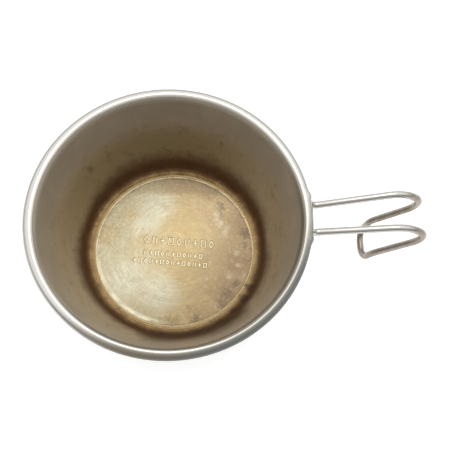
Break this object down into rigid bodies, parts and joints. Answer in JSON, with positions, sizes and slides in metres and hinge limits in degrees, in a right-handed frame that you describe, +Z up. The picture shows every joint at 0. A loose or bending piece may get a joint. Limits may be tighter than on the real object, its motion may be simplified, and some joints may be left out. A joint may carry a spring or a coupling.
{
  "type": "camping cup",
  "caption": "Wide steel camping cup with a rim rolled round a wire, which also forms a two-legged hook handle for hanging and carrying.",
  "frame": {"origin": "on the bowl's axis, in the plane that the foot ring stands on", "axes": "+Z up along the bowl's axis, +X from the axis through the middle of the handle"},
  "size_m": [0.1718, 0.1206, 0.0553],
  "materials": {
    "cup_steel": "worn satin, heat tinted and stained inside",
    "wire_steel": "drawn wire, polished by handling"
  },
  "bodies": {
    "root": {"cup_body": "cup_steel", "rim_wire_handle": "wire_steel"}
  },
  "joints": []
}
